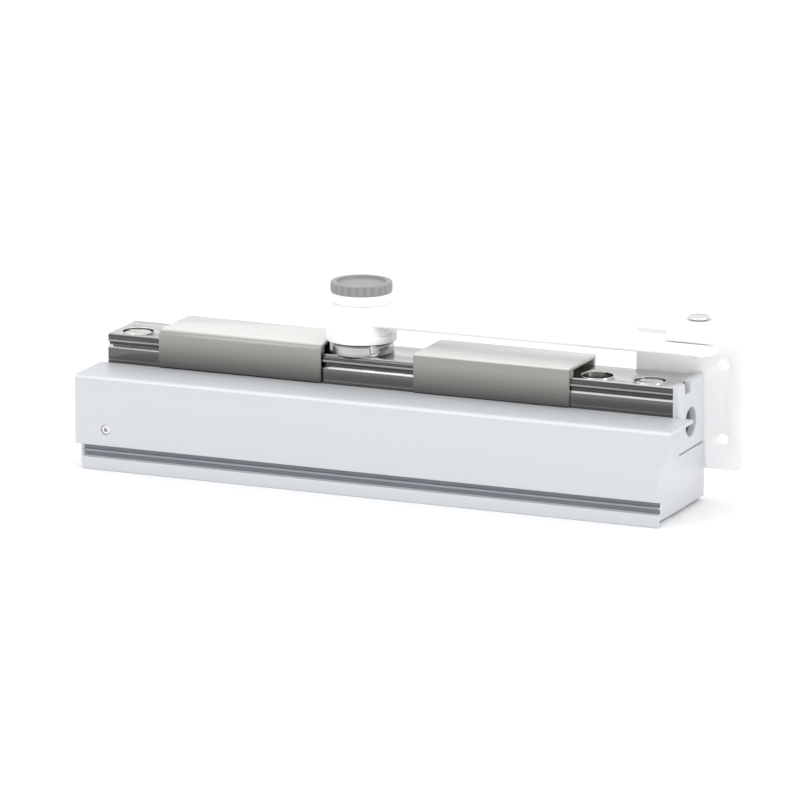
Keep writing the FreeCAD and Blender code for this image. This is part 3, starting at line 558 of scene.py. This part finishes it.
def growCover(s):
    screwLow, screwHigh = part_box("cover_screw")
    sizes = {"Length": coverHigh.x - coverLow.x, "Left": coverLow.x, "Corner": s["cornerRadius"] * mm,
             "Top corner": s["topRadius"] * mm, "Top": coverHigh.z, "Front": coverLow.y,
             "Lip step": s["lipStep"] * mm, "Overhang": s["rightOverhang"] * mm,
             "Lip top": coverLow.z + s["recessHigh"] * mm, "Notch low": coverLow.z + s["notchTop"][0] * mm,
             "Notch high": coverLow.z + s["notchTop"][1] * mm, "Foot": coverLow.z,
             "Screw X": (screwLow.x + screwHigh.x) / 2, "Screw Z": (screwLow.z + screwHigh.z) / 2,
             "Screw hole": (screwHigh.z - screwLow.z) / 2 + s["screwRoom"] * mm}
    g = Growth("coverTree", sizes)
    loop = g.node("GeometryNodeMeshToCurve", {}, [g.given("Geometry")])
    x, y, z = g.apart()     # the outline is drawn flat, so there x is depth and y is height
    nearTop = y.maths("GREATER_THAN", g.given("Top") - 0.5 * mm)
    nearFront = x.maths("LESS_THAN", g.given("Front") + 0.5 * mm)
    radius = g.given("Corner") + nearTop * nearFront * (g.given("Top corner") - g.given("Corner"))
    loop = g.node("GeometryNodeFilletCurve", {"mode": "POLY"},
                  {"Curve": loop, "Count": 5, "Radius": radius, "Limit Radius": True})
    face = g.node("GeometryNodeFillCurve", {"mode": "NGONS"}, [loop])
    tall = g.node("GeometryNodeExtrudeMesh", {"mode": "FACES"},
                  {"Mesh": face, "Offset": (0, 0, 1), "Offset Scale": g.given("Length"), "Individual": False})
    shut = g.node("GeometryNodeFlipFaces", {}, [face])
    solid = g.together(tall, shut)
    solid = g.node("GeometryNodeMergeByDistance", {}, {"Geometry": solid, "Distance": 0.005 * mm})
    solid = g.node("GeometryNodeTransform", {},
                   {"Geometry": solid, "Translation": g.vector(g.given("Left")),
                    "Rotation": (math.pi / 2, 0, math.pi / 2)})
    reach = 0.2     # the cutting blocks run well past the cover
    lipHeight = g.given("Lip top") - g.given("Foot") + reach
    lip = g.block((g.given("Lip step") * 2, reach * 2, lipHeight),
                  (g.given("Left"), 0.0, g.given("Lip top") - lipHeight * 0.5))
    notchHeight = g.given("Notch low") - g.given("Foot") + reach
    right = g.given("Left") + g.given("Length")
    notch = g.block((g.given("Overhang") * 2, reach * 2, notchHeight),
                    (right, 0.0, g.given("Notch low") - notchHeight * 0.5))
    upper = z.maths("GREATER_THAN", g.given("Foot"))
    slant = (g.given("Notch high") - g.given("Notch low")) / g.given("Overhang")
    rise = (x - right + g.given("Overhang")) * slant
    notch = g.node("GeometryNodeSetPosition", {},
                   {"Geometry": notch, "Selection": upper, "Offset": g.vector(0.0, 0.0, rise)})
    hole = g.node("GeometryNodeMeshCylinder", {},
                  {"Vertices": 40, "Radius": g.given("Screw hole"), "Depth": 0.01})
    hole = g.node("GeometryNodeTransform", {},
                  {"Geometry": hole, "Rotation": (math.pi / 2, 0, 0),
                   "Translation": g.vector(g.given("Screw X"), g.given("Front"), g.given("Screw Z"))})
    cut = solid
    for tool in (lip, notch, hole):
        cut = g.node("GeometryNodeMeshBoolean", {"operation": "DIFFERENCE", "solver": "EXACT"},
                     {"Mesh 1": cut, "Mesh 2": tool})
    foot, front, deep = g.given("Foot"), g.given("Front"), s["recessDepth"]
    # masks for the painted shade in the recess band and on its rib
    recessShadeMask = (z.maths("GREATER_THAN", foot + s["recessLow"] * mm + 0.2 * mm)
              * z.maths("LESS_THAN", g.given("Lip top") - 0.2 * mm)
              * y.maths("GREATER_THAN", front + 0.6 * mm)
              * y.maths("LESS_THAN", front + (deep + 0.3) * mm))
    ribShadeMask = (recessShadeMask * y.maths("LESS_THAN", front + (deep - 0.3) * mm)
             * z.maths("GREATER_THAN", foot + (s["ribLow"] - 0.2) * mm)
             * z.maths("LESS_THAN", foot + (s["ribHigh"] + 0.2) * mm))
    g.close(cut, "cover_silver", [(recessShadeMask, "recessShade"), (ribShadeMask, "recessRib")])
    return g.grow(wireLoop(coverOutline(s), "coverOutline"), "frontCover")


ridden(growCover(coverShape), "housing", ["front_cover"])
print("front cover grown")


# fluted knob: a lathe shape whose side is pressed in by a cosine

knobShape = {
    "flutes": 24,
    "fluteDepth": 0.9,
    "fluteSharpness": 1.6,
    "dishRadius": 11.6,
    "dishDepth": 1.3,
    "stepsPerFlute": 12,
}


def lathe(profile, steps, centre, name):
    # rings of points about an upright axis, closed at both ends on the axis
    verts, faces = [], []
    for r, z in profile:
        for k in range(steps):
            a = 2 * math.pi * k / steps
            verts.append((centre[0] + r * math.cos(a), centre[1] + r * math.sin(a), z))
    for ring in range(len(profile) - 1):
        for k in range(steps):
            n = (k + 1) % steps
            faces.append((ring * steps + k, ring * steps + n, (ring + 1) * steps + n, (ring + 1) * steps + k))
    verts += [(centre[0], centre[1], profile[0][1]), (centre[0], centre[1], profile[-1][1])]
    last = (len(profile) - 1) * steps
    for k in range(steps):
        n = (k + 1) % steps
        faces.append((len(verts) - 2, n, k))
        faces.append((len(verts) - 1, last + k, last + n))
    mesh = bpy.data.meshes.new(name)
    mesh.from_pydata(verts, [], faces)
    return mesh


def growKnob(s):
    low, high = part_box("hub_knob")
    outer = (high.x - low.x) / 2
    dish, depth = s["dishRadius"] * mm, s["dishDepth"] * mm
    side = [low.z + 0.35 * mm + (high.z - low.z - 1.3 * mm) * k / 6 for k in range(7)]
    profile = [(outer - 0.35 * mm, low.z)] + [(outer, z) for z in side]
    profile += [(outer - 0.12 * mm, high.z - 0.45 * mm), (outer - 0.5 * mm, high.z - 0.1 * mm),
                (outer - 0.9 * mm, high.z), (dish + 0.5 * mm, high.z), (dish + 0.12 * mm, high.z - 0.15 * mm),
                (dish, high.z - 0.5 * mm), (dish - 0.2 * mm, high.z - depth + 0.2 * mm),
                (dish - 0.6 * mm, high.z - depth), (dish * 0.5, high.z - depth * 0.92),
                (1.0 * mm, high.z - depth * 0.9)]
    g = Growth("knobTree", {"Flutes": float(s["flutes"]), "Depth": s["fluteDepth"] * mm,
                            "Sharpness": s["fluteSharpness"], "Centre X": spindleAxis[0],
                            "Centre Y": spindleAxis[1], "Reach": outer, "Low": low.z, "High": high.z})
    x, y, z = g.apart()
    dx, dy = x - g.given("Centre X"), y - g.given("Centre Y")
    angle = dy.maths("ARCTAN2", dx)
    wave = ((angle * g.given("Flutes")).maths("COSINE") * 0.5 + 0.5) ** g.given("Sharpness")
    rim = (dx * dx + dy * dy).maths("SQRT").maths("GREATER_THAN", g.given("Reach") - 0.3 * mm)
    fade = ((g.given("High") - 0.6 * mm - z) / (0.9 * mm)).maths("MINIMUM", 1.0).maths("MAXIMUM", 0.0)
    press = wave * rim * fade * g.given("Depth") / g.given("Reach") * -1.0
    moved = g.node("GeometryNodeSetPosition", {},
                   {"Geometry": g.given("Geometry"), "Offset": g.vector(dx * press, dy * press, 0.0)})
    g.close(moved, "knob_grey")
    mesh = lathe(profile, s["flutes"] * s["stepsPerFlute"], spindleAxis, "knobLathe")
    return g.grow(mesh, "hubKnob")


ridden(growKnob(knobShape), "spindle_group", ["hub_knob"])
print("knob grown")


# main spring: a helix with closed ends between the piston and its seat

springShape = {
    "wireRadius": 1.6,
    "meanRadius": 9.0,
    "turns": 15.4,
    "stepsPerTurn": 40,
}


def growSpring(s):
    low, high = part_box("main_spring")
    length = high.x - low.x - 2 * s["wireRadius"] * mm
    g = Growth("springTree", {"Wire": s["wireRadius"] * mm, "Radius": s["meanRadius"] * mm,
                              "Turns": s["turns"], "Height": length, "Steps": s["stepsPerTurn"]})
    line = g.node("GeometryNodeCurveSpiral", {},
                  {"Resolution": g.given("Steps"), "Rotations": g.given("Turns"), "Height": g.given("Height"),
                   "Start Radius": g.given("Radius"), "End Radius": g.given("Radius")})
    wire = g.circle(g.given("Wire"), 14)
    coil = g.node("GeometryNodeCurveToMesh", {}, {"Curve": line, "Profile Curve": wire, "Fill Caps": True})
    middle = (low + high) / 2
    coil = g.node("GeometryNodeTransform", {},
                  {"Geometry": coil, "Rotation": (0, math.pi / 2, 0),
                   "Translation": (low.x + s["wireRadius"] * mm, middle.y, middle.z)})
    g.close(coil, "spring_steel")
    return g.grow(bpy.data.meshes.new("springSeed"), "mainSpring")


ridden(growSpring(springShape), "housing", ["main_spring"])


# bright machined rims round the ports in the body's top

portShape = {
    "radius": 7.75,
    "lip": 0.28,
}


def growPortRims(s):
    places = []
    for valveName in ("closing", "backcheck", "latching"):
        low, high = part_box(valveName + "_valve")
        places.append(((low.x + high.x) / 2, (low.y + high.y) / 2, bodyTop))
    mesh = bpy.data.meshes.new("portPlaces")
    mesh.from_pydata(places, [], [])
    g = Growth("portTree", {"Radius": s["radius"] * mm, "Lip": s["lip"] * mm})
    spots = g.node("GeometryNodeMeshToPoints", {}, [g.given("Geometry")])
    path = g.circle(g.given("Radius"), 72)
    section = g.circle(g.given("Lip"), 10)
    rim = g.node("GeometryNodeCurveToMesh", {}, {"Curve": path, "Profile Curve": section})
    rims = g.node("GeometryNodeInstanceOnPoints", {}, {"Points": spots, "Instance": rim})
    g.close(rims, "bright_screw")
    return g.grow(mesh, "portRims")


ridden(growPortRims(portShape), "housing", [])
print("spring and port rims grown")


# pieces inside, as designed

insideFinish = {
    "end_plug": "steel", "spring_seat": "steel", "piston": "steel", "piston_rings": "seal_rubber",
    "check_valve": "steel", "spindle": "steel", "upper_bush": "bronze", "lower_bush": "bronze",
    "spindle_seal": "seal_rubber", "arm_screw": "steel", "cover_clips": "spring_steel",
}
for nodeName, key in insideFinish.items():
    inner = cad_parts[nodeName]
    inner.data.materials.clear()
    inner.data.materials.append(finishes[key])


floorLook = {"half": 12.0, "colour": (0.93, 0.93, 0.935), "drop": 0.05}


def layFloor(look):
    f = Finish("paleFloor")
    cloud = f.noise(2.0, 3.0, 0.5)
    colour = look["colour"]
    f.shade({"Base Color": f.mix(cloud, colour, [c * 0.985 for c in colour]), "Roughness": 0.75})
    half, z = look["half"], cadLow.z - look["drop"] * mm
    corners = [(-half, -half, z), (half, -half, z), (half, half, z), (-half, half, z)]
    mesh = bpy.data.meshes.new("floor")
    mesh.from_pydata(corners, [], [(0, 1, 2, 3)])
    mesh.materials.append(f.material)
    floor = bpy.data.objects.new("floor", mesh)
    bpy.context.scene.collection.objects.link(floor)


layFloor(floorLook)
